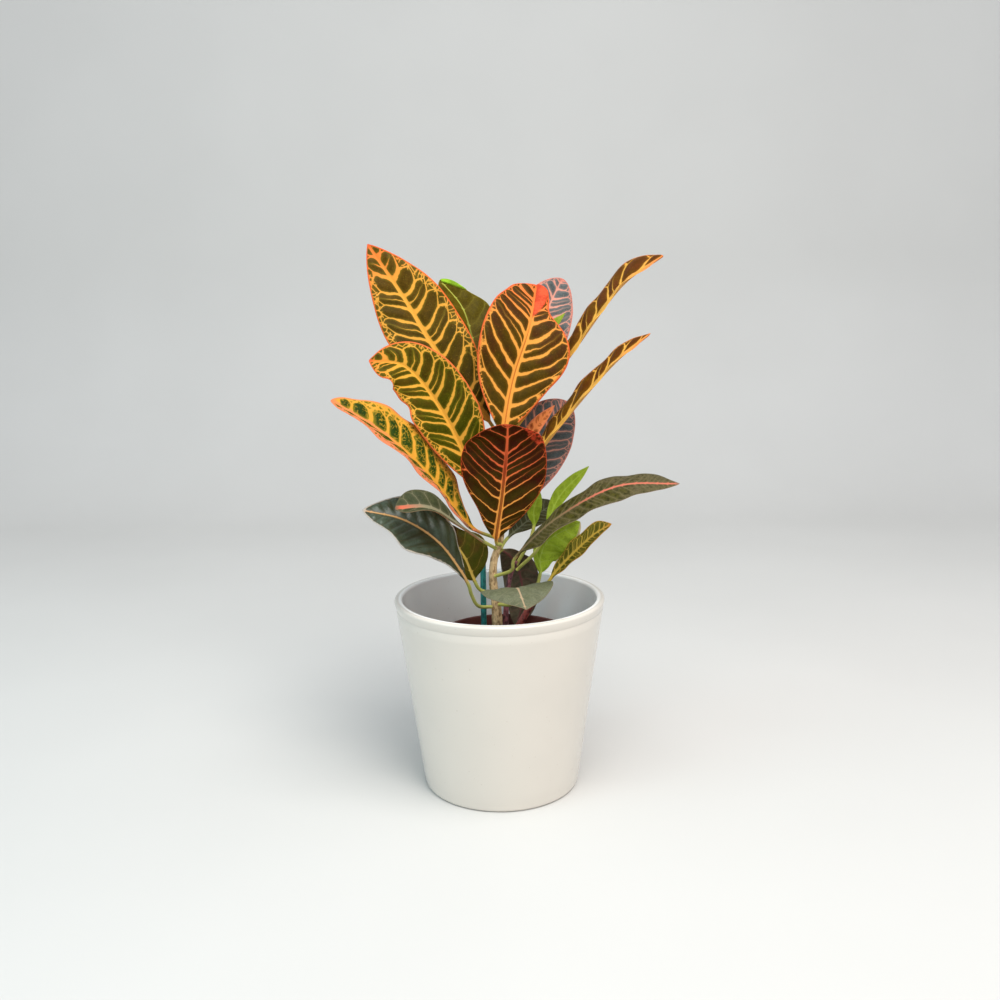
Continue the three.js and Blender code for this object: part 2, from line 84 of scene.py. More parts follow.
LEAVES = {
    "leaf_top_left": {
        "root": [281, 165],
        "path": [[-6, 10, 298], [-48, 32, 353], [-75, 44, 397], [-103, 50, 439]],
        "face": [0.25, -1, 0.25], "width": 64, "outline": [0.95, 0.9], "fold": 8, "wave": [1.2, 3],
        "look": "yellow", "spacing": 16},
    "leaf_mid_left": {
        "root": [226, 190], "path": [[-14, -3, 247], [-40, 2, 302], [-69, 4, 341], [-99, 0, 348]],
        "face": [-0.1, -1, 0.4], "width": 58, "outline": [0.9, 0.8], "fold": 20, "turn": 14,
        "swell": [[-1, 0.86, 0.1, 0.4], [-1, 0.96, 0.05, 0.9], [-1, 0.6, 0.05, -0.15]],
        "look": "green", "spacing": 13},
    "leaf_centre": {
        "root": [272, 280], "path": [[5, -5, 289], [13, 10, 331], [27, 24, 372], [34, 50, 405]],
        "face": [0.1, -1, 0.2], "width": 74, "outline": [0.9, 0.6], "fold": 10,
        "swell": [[1, 0.8, 0.13, -0.55], [1, 0.95, 0.1, -0.25], [1, 0.5, 0.15, 0.05],
                  [-1, 0.97, 0.05, 0.2]], "look": "orange", "spacing": 13,
        "patch": [1, 0.74, 1.12, "rib", 11, 1.0, [226, 80, 46]]},
    "leaf_top_right": {
        "root": [284, 20], "path": [[19, 12, 298], [59, 36, 347], [101, 42, 402], [134, 34, 426]],
        "face": [-0.72, -0.16, 0.66], "width": 44, "outline": [0.9, 0.5], "fold": 14,
        "wave": [1, 4], "swell": [[-1, 0.85, 0.1, 0.3]], "look": "brown", "spacing": 20,
        "lit_half": 1},
    "leaf_mid_right": {
        "root": [239, 10], "path": [[14, 3, 250], [55, 6, 301], [92, 4, 343], [119, -4, 366]],
        "face": [-0.74, -0.11, 0.67], "width": 42, "outline": [0.9, 0.7], "fold": 13,
        "wave": [1, 4], "look": "brown", "spacing": 18, "lit_half": 1},
    "leaf_back_right": {
        "root": [290, 80], "path": [[13, 20, 300], [30, 60, 353], [46, 78, 390], [57, 87.98, 411]],
        "width": 50, "outline": [0.9, 0.6], "fold": 8, "look": "pink", "spacing": 9},
    "leaf_low_back_right": {
        "root": [216, 60], "path": [[12, 15, 226], [28, 32, 261], [41, 40, 287], [59, 44, 310]],
        "width": 50, "outline": [0.9, 0.6], "fold": 8, "look": "pink", "spacing": 9},
    "leaf_back_left": {
        "root": [292, 130], "path": [[2, 24, 304], [-17, 62, 352], [-28, 80, 387], [-47, 84, 411]],
        "face": [0.5, -1, 0.3], "width": 50, "outline": [0.9, 0.7], "wave": [1.5, 2],
        "swell": [[1, 0.85, 0.15, -0.3], [1, 0.76, 0.06, 0.25]], "look": "olive", "spacing": 13,
        "patch": [1, 0.85, 1.05, "rim", 5, 1.2, [150, 196, 44]]},
    "leaf_long_left": {
        "root": [205, 195],
        "path": [[-17, -3, 212], [-28, -8, 222], [-55, -24, 263], [-86, -34, 295],
                 [-123, -42, 321]], "face": [0.3, -0.6, 1], "width": 56, "outline": [0.9, 0.7],
        "fold": 20, "turn": 9, "wave": [1.5, 4], "look": "gold", "spacing": 14, "blush": -1},
    "leaf_low_left": {
        "root": [149, 215], "stalk": 3,
        "path": [[-17, -14, 153], [-22, -20, 164], [-26, -26, 178], [-45, -38, 210],
                 [-71, -44, 230], [-102, -48, 239]], "face": [0, -0.6, 1], "width": 50,
        "outline": [1.2, 0.9], "fold": 8, "wave": [1.5, 3],
        "swell": [[-1, 0.65, 0.2, 0.25], [-1, 0.25, 0.15, -0.3]], "look": "blue", "spacing": 10,
        "quilt": 0.08},
    "leaf_folded_left": {
        "root": [197, 240],
        "path": [[-13, -24, 209], [-31, -46, 227], [-51, -63, 243], [-75, -69, 244]],
        "face": [0.2, -0.5, 1], "width": 30, "outline": [3.2, 0.8], "fold": 22, "turn": -5,
        "wave": [1, 2], "swell": [[-1, 0.7, 0.4, -0.5]], "look": "grey", "spacing": 9},
    "leaf_by_stake": {
        "root": [162, 235], "stalk": 2,
        "path": [[-15, -10, 165], [-20, -15, 175], [-27, -18, 194], [-37, -18, 209],
                 [-45, -17, 221]], "face": [0.1, -1, 0.4], "width": 44, "outline": [0.8, 0.9],
        "fold": 15, "turn": 20, "wave": [0.8, 2],
        "swell": [[1, 0.75, 0.2, -0.3], [-1, 0.4, 0.5, -0.5]], "look": "shade", "spacing": 9},
    "leaf_front": {
        "root": [201, 292], "path": [[-2, -11, 207], [3, -22, 243], [7, -34, 281], [8, -56, 303]],
        "face": [0, 1, 0.5], "width": 64, "outline": [0.9, 0.65], "fold": 6,
        "swell": [[1, 0.62, 0.2, 0.07], [1, 0.2, 0.12, -0.15], [-1, 0.45, 0.1, 0.05]],
        "look": "maroon", "spacing": 13, "patch": [-1, 0.7, 0.95, "rim", 9, 0.4, [206, 70, 40]],
        "broken": 1},
    "leaf_long_right": {
        "root": [175, 290], "stalk": 2,
        "path": [[10, -13, 182], [14, -19, 195], [44, -28, 226], [90, -34, 252], [139, -30, 253]],
        "face": [0, -0.35, 1], "width": 36, "outline": [1.1, 0.7], "fold": -4, "wave": [1, 4],
        "swell": [[1, 0.14, 0.12, 1], [1, 0.93, 0.1, -0.4], [-1, 0.93, 0.08, 0.6]],
        "look": "mottled", "spacing": 8},
    "leaf_low_front": {
        "root": [151, 300], "stalk": 2,
        "path": [[9, -11, 153], [10, -15, 160], [14, -30, 172], [20, -62, 164]],
        "face": [0, -0.2, 1], "width": 58, "outline": [0.6, 1.1], "fold": 0, "wave": [2, 1],
        "look": "dull", "spacing": 12},
    "leaf_drooping": {
        "root": [186, 75], "path": [[3, 14, 192], [15, 34, 174], [20, 42, 145], [14, 42, 118]],
        "face": [0, 1, 0.6], "width": 31, "outline": [0.8, 0.7], "fold": 5, "wave": [1.5, 3],
        "look": "old", "spacing": 9},
    "leaf_behind_front": {
        "root": [196, 50], "path": [[8, 21, 201], [27, 46, 211], [50, 58, 223]],
        "face": [-0.3, -0.7, 1], "width": 34, "outline": [1.3, 0.7], "fold": 8, "wave": [1, 2],
        "look": "striped", "spacing": 7},
    "leaf_sliver_right": {
        "root": [254, 25], "path": [[13, 7, 264], [29, 12, 291], [46, 14, 310]],
        "face": [-0.3, -1, 0.4], "width": 12, "wave": [0.5, 2], "look": "speckled", "spacing": 7},
    "leaf_young_top": {
        "root": [297, 45], "path": [[14, 22, 308], [34, 46, 357], [57, 58, 382]],
        "face": [-0.3, -1, 0.4], "width": 16, "wave": [0.5, 2], "look": "lime", "spacing": 8},
    "leaf_lime_long": {
        "stem": "second_stem", "root": [177, 340], "stalk": 2,
        "path": [[31, 1, 195], [39, 0, 215], [50, 7, 238], [73, 10, 261]], "face": [-0.3, -1, 0.4],
        "width": 12, "wave": [0.5, 3], "look": "lime", "spacing": 8},
    "leaf_lime_short": {
        "stem": "second_stem", "root": [180, 60], "stalk": 2,
        "path": [[25, 12, 199], [29, 13, 213], [29, 13, 226], [34, 12, 240]], "width": 12,
        "wave": [0.5, 2], "look": "lime", "spacing": 8},
    "leaf_lime_broad": {
        "stem": "side_shoot", "root": [155, 100],
        "path": [[34, 16, 172], [34, 20, 184], [42, 21, 199], [67, 17, 214]],
        "face": [0.2, -1, 0.4], "width": 37, "outline": [0.7, 0.7], "fold": 25, "turn": 30,
        "wave": [0.4, 1], "look": "lit_lime", "spacing": 9,
        "patch": [1, 0.72, 1.1, "rim", 3, 0.4, [204, 184, 146]]},
    "leaf_low_right": {
        "stem": "side_shoot", "root": [157, 0],
        "path": [[42, 10, 168], [55, 8, 184], [76, 5, 205], [91, 3, 215]], "face": [-0.3, -0.6, 1],
        "width": 20, "outline": [0.9, 0.7], "wave": [0.8, 3],
        "swell": [[1, 0.9, 0.1, -0.3], [-1, 0.9, 0.1, 0.5]], "look": "mustard", "spacing": 5.5},
}

# Leaf colourings. `vein` is the colour of the midrib and side veins, `end` what it turns to at the
# tip and `rim` at the margin; `cell` lies between the veins near the stalk and `far` near the tip;
# `halo` borders the veins, and `seam` is the dark line along a midrib. In mm, `rib`, `side`,
# `band` and `line` are half-widths of the midrib, of a side vein where it leaves the midrib, of the
# margin's coloured band and of the seam; `fork` is how far from the margin a side vein forks, `net`
# the size of the cells beyond the forks, `lace` the half-width of that net's lines, and `hair` the
# size of the fine net inside the cells. `short` is the share of cells with a short vein, and `thin`
# how much of its width the midrib loses towards the tip. From `onset` along the blade the veins
# turn to the colour `end`, or only the midrib where `narrow` is set. `mottle` is how strongly the
# cells are blotched, `grain` the blotches' size, `gloss` the specular level and `rough` the
# roughness.
PLAIN_LOOK = {"band": 0.2, "line": 0, "fork": 4, "net": 0, "hair": 0, "short": 0, "thin": 0.6,
              "onset": 0.8, "narrow": 0, "mottle": 0.35, "grain": 7, "gloss": 0.05, "rough": 0.5}
LOOKS = {
    "yellow": {
        "slot": "yellow_veined_leaf", "vein": (214, 150, 56), "end": (226, 104, 48),
        "rim": (214, 84, 44), "cell": (72, 55, 2), "far": (84, 60, 8), "halo": (104, 88, 20),
        "rib": 2.5, "side": 1.15, "band": 0.9, "fork": 11, "net": 5.2, "short": 0.45,
        "onset": 0.72},
    "green": {
        "slot": "yellow_veined_leaf", "vein": (211, 151, 54), "end": (226, 108, 48),
        "rim": (206, 84, 50), "cell": (66, 64, 0), "far": (76, 58, 4), "halo": (98, 92, 14),
        "rib": 2.5, "side": 1.1, "band": 1.0, "fork": 8, "net": 4.8, "short": 0.5},
    "orange": {
        "slot": "yellow_veined_leaf", "vein": (215, 144, 60), "end": (228, 112, 56),
        "rim": (208, 77, 44), "cell": (74, 54, 0), "far": (72, 38, 6), "halo": (106, 74, 16),
        "seam": (169, 88, 31), "rib": 2.9, "side": 1.15, "band": 1.0, "line": 0.45, "fork": 6,
        "net": 4.2, "short": 0.35, "onset": 0.6},
    "brown": {
        "slot": "yellow_veined_leaf", "vein": (218, 162, 68), "end": (217, 129, 66),
        "rim": (197, 103, 57), "cell": (100, 66, 8), "far": (92, 48, 15), "halo": (120, 82, 18),
        "rib": 3.4, "side": 1.0, "band": 0.5, "fork": 7, "net": 4.2, "short": 0.2},
    "gold": {
        "slot": "gold_veined_leaf", "vein": (208, 147, 50), "end": (217, 129, 79),
        "rim": (213, 121, 81), "cell": (42, 63, 10), "far": (38, 59, 13), "halo": (142, 124, 27),
        "rib": 2.6, "side": 1.2, "band": 1.8, "fork": 12, "net": 4.2, "lace": 0.75, "hair": 3.0,
        "thin": 0.5, "onset": 0.5, "narrow": 1},
    # Its grey-blue cells are partly the leaf's own dark colour and partly painted reflection of the
    # pale surroundings on the glossy blade.
    "pink": {
        "slot": "pink_veined_leaf", "vein": (208, 144, 126), "end": (194, 122, 106),
        "rim": (192, 112, 97), "cell": (80, 86, 84), "far": (88, 95, 95), "halo": (124, 110, 104),
        "rib": 1.2, "side": 0.6, "band": 0.7, "fork": 5, "net": 4, "short": 0.3},
    "olive": {
        "slot": "olive_leaf", "vein": (175, 180, 77), "end": (175, 180, 77), "rim": (116, 103, 33),
        "cell": (76, 61, 2), "far": (86, 74, 6), "halo": (93, 80, 10), "seam": (48, 31, 6),
        "rib": 0.9, "side": -0.15, "band": 0.3, "line": 0.35},
    "shade": {
        "slot": "olive_leaf", "vein": (184, 155, 74), "end": (138, 110, 46), "rim": (77, 64, 26),
        "cell": (68, 68, 11), "far": (80, 44, 23), "halo": (74, 63, 17), "rib": 1.3, "side": -0.1},
    # Its pale grey-blue margin and the bluer green towards the tip are painted sheen, and the
    # darker halo along its veins is painted shade in the furrows along the side veins.
    "blue": {
        "slot": "blue_green_leaf", "vein": (188, 144, 88), "end": (204, 156, 114),
        "rim": (158, 166, 164), "cell": (50, 57, 32), "far": (70, 83, 66), "halo": (42, 46, 27),
        "rib": 1.4, "side": -0.25, "band": 1.3, "thin": 0.5, "mottle": 0.25, "gloss": 0.4,
        "rough": 0.38},
    "grey": {
        "slot": "grey_leaf", "vein": (134, 127, 99), "end": (217, 96, 68), "rim": (96, 90, 68),
        "cell": (65, 68, 42), "far": (63, 68, 44), "halo": (84, 82, 59), "rib": 1.3, "side": 0.05,
        "thin": -0.6, "onset": 0.72, "narrow": 1},
    "mottled": {
        "slot": "grey_leaf", "vein": (120, 102, 72), "end": (198, 106, 86), "rim": (107, 99, 81),
        "cell": (74, 70, 28), "far": (93, 83, 58), "halo": (90, 84, 54), "rib": 1.2, "side": 0.02,
        "short": 0.4, "thin": 0.2, "onset": 0.3, "narrow": 1, "mottle": 1.0, "grain": 3},
    "maroon": {
        "slot": "maroon_leaf", "vein": (255, 170, 78), "end": (240, 98, 60), "rim": (176, 62, 35),
        "cell": (66, 50, 6), "far": (62, 15, 5), "halo": (91, 48, 11), "seam": (110, 34, 10),
        "rib": 2.4, "side": 0.5, "band": 0.4, "line": 0.9, "net": 3.0, "short": 0.4, "thin": 0.85,
        "onset": 0.3},
    "lime": {
        "slot": "lime_leaf", "vein": (136, 156, 57), "end": (138, 158, 59), "rim": (129, 147, 52),
        "cell": (120, 142, 34), "far": (127, 148, 38), "halo": (127, 146, 40), "rib": 0.6,
        "side": 0.02, "fork": 3},
    # A paler copy of the lime look: painted light, for a lime leaf that lies in shade.
    "lit_lime": {
        "slot": "lime_leaf", "vein": (171, 190, 88), "end": (162, 180, 74), "rim": (156, 175, 70),
        "cell": (152, 177, 48), "far": (158, 180, 53), "halo": (158, 180, 57), "rib": 0.6,
        "side": 0.02, "fork": 3},
    "mustard": {
        "slot": "yellow_green_leaf", "vein": (214, 178, 74), "end": (222, 142, 72),
        "rim": (190, 138, 56), "cell": (90, 88, 26), "far": (98, 92, 30), "halo": (124, 116, 42),
        "rib": 1.5, "side": 0.3, "band": 0.4, "fork": 3, "short": 0.3},
    "speckled": {
        "slot": "yellow_green_leaf", "vein": (213, 129, 72), "end": (202, 129, 83),
        "rim": (202, 118, 81), "cell": (114, 49, 25), "far": (114, 48, 25), "halo": (201, 118, 63),
        "rib": 1.0, "side": 1.1, "band": 0.8, "net": 2.2, "short": 0.5},
    "striped": {
        "slot": "blue_green_leaf", "vein": (107, 107, 81), "end": (107, 107, 81),
        "rim": (83, 83, 59), "cell": (63, 59, 21), "far": (78, 76, 49), "halo": (80, 80, 53),
        "rib": 0.8, "side": 0.3, "fork": 3, "short": 0.3},
    "dull": {
        "slot": "blue_green_leaf", "vein": (175, 151, 120), "end": (175, 138, 107),
        "rim": (114, 109, 85), "cell": (104, 107, 80), "far": (112, 114, 90),
        "halo": (99, 103, 80), "rib": 0.9, "side": -0.1, "band": 0.3, "short": 0.2, "mottle": 0.3},
    "old": {
        "slot": "old_leaf", "vein": (138, 88, 83), "end": (88, 68, 57), "rim": (68, 57, 46),
        "cell": (122, 108, 84), "far": (112, 101, 80), "halo": (114, 99, 78), "rib": 1.0,
        "side": 0.1, "fork": 3, "mottle": 0.8, "rough": 0.65},
}

# These looks are of leaves that show their underside, and colour both sides alike
UNDERSIDE_LOOKS = ("maroon", "old")
# Undersides of all others: cells and veins
UNDER_CELL = (92, 46, 24)
UNDER_VEIN = (206, 130, 84)
# Stalks: the two colours that they are streaked with
STALK_GREEN = (146, 154, 66)
STALK_STRAW = (192, 186, 106)

# A leaf's sections: half the blade's thickness, and the share of it left at the margin, over some
# mm; radii of the stalk and of the very tip, which is a little finer than the solid's so that the
# surface stays inside it; the gap to the bark; where the stalk starts to flatten and over how much,
# as shares of the blade's length
BLADE_HALF, MARGIN_SHARE, MARGIN_WIDTH = 0.4, 0.35, 3
STALK_RADIUS, TIP_RADIUS, GAP, STALK_FADE, FADE_LENGTH = 1.4, 0.5, 0.3, -0.06, 0.16
# A leaf's grid: rows along the stalk, mm between the blade's rows and columns, fewest columns
STALK_ROWS, ROW_STEP, COLUMN_STEP, LEAST_COLUMNS = 16, 1.5, 1.7, 13
# Side veins, mm: how far each leans to the tip per mm from the midrib, and per mm squared; size and
# length of the slow drifts in their spacing
VEIN_LEAN, VEIN_BEND, VEIN_DRIFTS = 0.55, 0.008, ((0.16, 17), (0.1, 8))
# How far the side veins of the two halves lie apart, as a share of the spacing: the mean, the size
# and length of its drift, and the distance from the midrib over which it grows
STAGGER = (0.2, 0.12, 23, 4)
# The blade's relief, mm: depth and half-width of the groove over the midrib; height, length and
# reach of the margin's ripple; the ridge below the midrib, as a share of the stalk's radius, and
# its half-width
GROOVE, GROOVE_WIDTH = 0.35, 1.6
RIPPLE, RIPPLE_LENGTH, RIPPLE_REACH = 0.2, 2.9, 2.5
RIDGE, RIDGE_WIDTH = 0.7, 1.7


def smooth(x):
    """3 x^2 - 2 x^3 between 0 and 1."""
    x = np.clip(x, 0, 1)
    return x * x * (3 - 2 * x)


def unit(v):
    return v / np.linalg.norm(v, axis=-1, keepdims=True)


def curve(points, u):
    """Point and direction at u (0 to 1) on the uniform Catmull-Rom curve through points.

    Between points b and c, with neighbours a and d, at the fraction w:
    b + w (c-a)/2 + w^2 (a - 5b/2 + 2c - d/2) + w^3 (-a/2 + 3b/2 - 3c/2 + d/2).
    """
    p = np.asarray(points, float)
    p = np.vstack([2 * p[0] - p[1], p, 2 * p[-1] - p[-2]])
    x = np.clip(u, 0, 1) * (len(points) - 1)
    k = np.minimum(x.astype(int), len(points) - 2)
    w = (x - k)[:, None]
    a, b, c, d = p[k], p[k + 1], p[k + 2], p[k + 3]
    one = (c - a) / 2
    two = a - 2.5 * b + 2 * c - d / 2
    three = -a / 2 + 1.5 * b - 1.5 * c + d / 2
    return b + w * one + w**2 * two + w**3 * three, unit(one + 2 * w * two + 3 * w**2 * three)


def by_length(points):
    """A table of curve parameter against arc length."""
    u = np.linspace(0, 1, 801)
    step = np.linalg.norm(np.diff(curve(points, u)[0], axis=0), axis=1)
    return u, np.concatenate([[0], np.cumsum(step)])


def root_point(row):
    """Where a stalk starts: just off the bark of its stem."""
    height, bearing = row["root"]
    points = np.asarray(STEMS[row["stem"]]["points"], float)
    radii = STEMS[row["stem"]]["radii"]
    k = int(np.clip(np.searchsorted(points[:, 2], height) - 1, 0, len(points) - 2))
    share = (height - points[k, 2]) / (points[k + 1, 2] - points[k, 2])
    axis = points[k] + share * (points[k + 1] - points[k])
    radius = radii[k] + share * (radii[k + 1] - radii[k])
    way = unit(points[k + 1] - points[k])
    out = np.array([math.cos(math.radians(bearing)), math.sin(math.radians(bearing)), 0])
    out = unit(out - way * (way @ out))
    heading = unit(np.asarray(row["path"][0], float) - axis)
    return axis + out * (radius + GAP + STALK_RADIUS * math.sqrt(1 - (heading @ out) ** 2))


def add_object(name, data):
    thing = bpy.data.objects.new(name, data)
    bpy.context.scene.collection.objects.link(thing)
    return thing


def add_mesh(name, points, faces, values=None):
    """A smooth-shaded piece from points in mm, riding on the plant, in place of its CAD node."""
    mesh = bpy.data.meshes.new(name)
    mesh.from_pydata((points * MM).tolist(), [], faces)
    mesh.update()
    mesh.shade_smooth()
    for key, value in (values or {}).items():
        layer = mesh.attributes.new(key, "FLOAT", "POINT")
        layer.data.foreach_set("value", value.astype(np.float32))
    piece = add_object(name, mesh)
    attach(piece, "root")
    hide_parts(name)
    return piece


def ring_quads(rings, sides):
    """Quads between neighbouring closed rings of points."""
    i, j = np.meshgrid(np.arange(rings - 1), np.arange(sides), indexing="ij")
    a = (i * sides + j).ravel()
    b = (i * sides + (j + 1) % sides).ravel()
    return np.stack([a, b, b + sides, a + sides], axis=1)


def closed_stack(name, grid, ends):
    """A stack of rings of points, closed at each end by a fan to one more point."""
    rings, sides = grid.shape[:2]
    j = np.arange(sides)
    k = (j + 1) % sides
    last = (rings - 1) * sides
    first_fan = np.stack([np.full(sides, rings * sides), k, j], axis=1)
    last_fan = np.stack([np.full(sides, rings * sides + 1), j + last, k + last], axis=1)
    faces = ring_quads(rings, sides).tolist() + first_fan.tolist() + last_fan.tolist()
    return add_mesh(name, np.concatenate([grid.reshape(-1, 3), ends]), faces)


def sections(row):
    """A leaf's cross-sections: arc lengths, lengths of stalk and blade, centres, up and aside.

    They are even along the stalk. Along the blade they lie at sin(x)^1.1 for even x from 0 to a
    right angle, so they crowd towards the tip.
    """
    path = np.array([root_point(row), *row["path"]], float)
    u, length = by_length(path)
    stalk = np.interp(row["stalk"] / (len(path) - 1), u, length)
    blade = length[-1] - stalk
    crowding = np.sin(np.linspace(0, math.pi / 2, int(blade / ROW_STEP))) ** 1.1
    stations = np.concatenate([
        np.linspace(0, stalk, STALK_ROWS, endpoint=False), stalk + blade * crowding])
    centre, along = curve(path, np.interp(stations, length, u))
    face = np.asarray(row["face"], float)
    up = unit(face - along * (along @ face)[:, None])
    side = np.cross(along, up)
    turn = math.radians(row["turn"])
    up, side = (up * math.cos(turn) + np.cross(along, up) * math.sin(turn),
                side * math.cos(turn) + np.cross(along, side) * math.sin(turn))
    return stations, stalk, blade, centre, up, side


def leaf(name, row, seed):
    """The surface of a leaf, stalk and blade in one, from the table's row.

    At arc length s the section's centre lies on the path. With t = 0 at the blade's base and 1 at
    its tip, the half-width is w = hypot(W g(t), r(t)), where g = (t/m)^a ((1-t)/(1-m))^b peaks at
    m = a/(a+b), W is half the table's width and r the stalk's radius. A swell on one half
    multiplies W by 1 + k exp(-((t-c)/e)^2). Across it, v runs from -1 to 1, and the point is
    centre + side w v cos(fold) + up (w |v| sin(fold) + wave + quilt + groove + ripple) +- normal h.
    The wave is A v^2 sqrt(g) sin(2 pi n t + v). The quilt rises q (1 - cos 2 pi p) between the side
    veins, which lie where p is whole, and p = (s - 0.55 d - 0.008 d^2)/spacing at the distance d
    from the midrib, with slow drifts. The groove sinks the midrib by a bell of d, and the ripple is
    a sine of s that fades away from the margin. A patch has an even rise in place of the quilt.
    h is half the thickness: the stalk's round section that thins into the blade, and a ridge below
    the midrib that runs out towards the tip.
    """
    stations, stalk, blade, centre, up, side = sections(row)
    t = (stations - stalk) / blade
    inside = np.clip(t, 0, 1)
    base, tip = row["outline"]
    widest = base / (base + tip)
    outline = (inside / widest) ** base * ((1 - inside) / (1 - widest)) ** tip
    radius = STALK_RADIUS + (TIP_RADIUS - STALK_RADIUS) * inside
    # 1 on the stalk, and 0 from a tenth of the blade on
    stalky = 1 - smooth((t - STALK_FADE) / FADE_LENGTH)
    fold = math.radians(row["fold"]) * (1 - stalky)
    columns = 2 * int(row["width"] / 2 / COLUMN_STEP) + LEAST_COLUMNS
    x = np.linspace(-1, 1, columns)
    # Columns lie closer near the midrib than near the margin
    v = x * (0.62 + 0.38 * x * x)
    o, r, inside = outline[:, None], stalky[:, None], inside[:, None]
    size = (len(stations), columns)

    # Width, and the distances from the midrib and from the margin
    factor = np.ones(size)
    for half, place, spread, amount in row["swell"]:
        factor += (half * v > 0) * amount * np.exp(-(((inside - place) / spread) ** 2))
    w = np.hypot(row["width"] / 2 * o * factor, radius[:, None])
    reach = w * np.abs(v)
    rim = w * (1 - np.abs(v))

    # The side veins' phase
    arc = (stations - stalk)[:, None]
    shift = np.random.default_rng(seed).uniform(0, 6.3, 4)
    phase = (arc - VEIN_LEAN * reach - VEIN_BEND * reach**2) / row["spacing"]
    for (drift, length), start in zip(VEIN_DRIFTS, shift):
        phase = phase + drift * np.sin(arc / length + start)
    stagger, drift, length, growth = STAGGER
    phase = phase + (stagger + drift * np.sin(arc / length + shift[2])) * np.tanh(v * w / growth)

    # Relief
    patch, rise = np.zeros(size), 0
    if "patch" in row:
        half, start, end, border, deep, rise, _ = row["patch"]
        share = np.clip((inside - start) / (end - start), 0, 1)
        depth = deep * np.sin(math.pi * share) ** 0.8
        depth = depth - (rim if border == "rim" else reach)
        patch = smooth(half * np.sign(v)) * smooth(depth / 1.5)
    waves, turns = row["wave"]
    waves = waves * v**2 * np.sqrt(o) * np.sin(2 * math.pi * turns * inside + v)
    bulge = smooth((reach - 1) / 6) * smooth(rim / 7)
    quilt = row["quilt"] * row["spacing"] * (1 - np.cos(2 * math.pi * phase)) * bulge * (1 - patch)
    groove = -GROOVE * np.exp(-((reach / GROOVE_WIDTH) ** 2)) * smooth(rim / 4)
    ripple = RIPPLE * np.sin(arc / RIPPLE_LENGTH + 5 * np.sign(v) + shift[3])
    ripple = ripple * np.exp(-rim / RIPPLE_REACH) * smooth(o * 2)
    relief = (1 - r) * (waves + quilt + groove + ripple)
    lift = reach * np.sin(fold)[:, None] + relief + rise * patch

    # The middle surface, and the two skins above and below it
    def grid(a):
        return a[:, None, None] if a.ndim == 1 else a[:, None, :]

    flat = w * v * np.cos(fold)[:, None]
    sign = np.sign(v)[None, :] * np.sin(fold)[:, None]
    normal = grid(up) * np.cos(fold)[:, None, None] - grid(side) * sign[:, :, None]
    middle = grid(centre) + grid(side) * flat[:, :, None] + grid(up) * lift[:, :, None]
    edge = np.sqrt(1 - v**2)
    thin = BLADE_HALF * (MARGIN_SHARE + (1 - MARGIN_SHARE) * smooth(rim / MARGIN_WIDTH))
    thick = thin + r * (STALK_RADIUS * edge - thin * edge)
    ridge = (1 - r) * RIDGE * STALK_RADIUS * (1 - inside)
    ridge = ridge * np.exp(-((reach / RIDGE_WIDTH) ** 2))
    top = middle + normal * thick[:, :, None]
    low = middle - normal * (thick + ridge)[:, :, None]

    # Each row is a ring, over the top and back below; both ends are closed across
    ring = np.concatenate([top, low[:, ::-1]], axis=1)
    count = ring.shape[1]
    quads = ring_quads(len(stations), count)[:, ::-1]
    j = np.arange(columns - 1)
    cap = np.stack([j, j + 1, count - 2 - j, count - 1 - j], axis=1)
    last = (len(stations) - 1) * count
    quads = np.vstack([quads, cap[:, ::-1], cap + last])

    def both(a):
        a = np.broadcast_to(a, size)
        return np.concatenate([a, a[:, ::-1]], axis=1).ravel()

    values = {
        "vein": both(phase),
        "rib": both(reach),
        # Towards the tip the margin counts as near, and on the stalk as far
        "rim": both(np.minimum(rim, 0.6 * (1 - inside) * blade) + 30 * r),
        "along": both(t[:, None]),
        "half": both(w),
        "under": np.concatenate([np.zeros(size), np.ones(size)], axis=1).ravel(),
    }
    if "patch" in row:
        values["patch"] = both(patch)
    for key in ("blush", "lit_half"):
        if key in row:
            values[key] = both(smooth(row[key] * v * 4))
    piece = add_mesh(name, ring.reshape(-1, 3), quads.tolist(), values)
    piece.data.materials.append(leaf_material(name, row, seed))


def colour(rgb):
    """Linear colour from sRGB whole numbers."""
    c = np.asarray(rgb, float) / 255
    return (*np.where(c <= 0.04045, c / 12.92, ((c + 0.055) / 1.055) ** 2.4).tolist(), 1)


def darker(rgb, share):
    return tuple(int(c * share) for c in rgb)


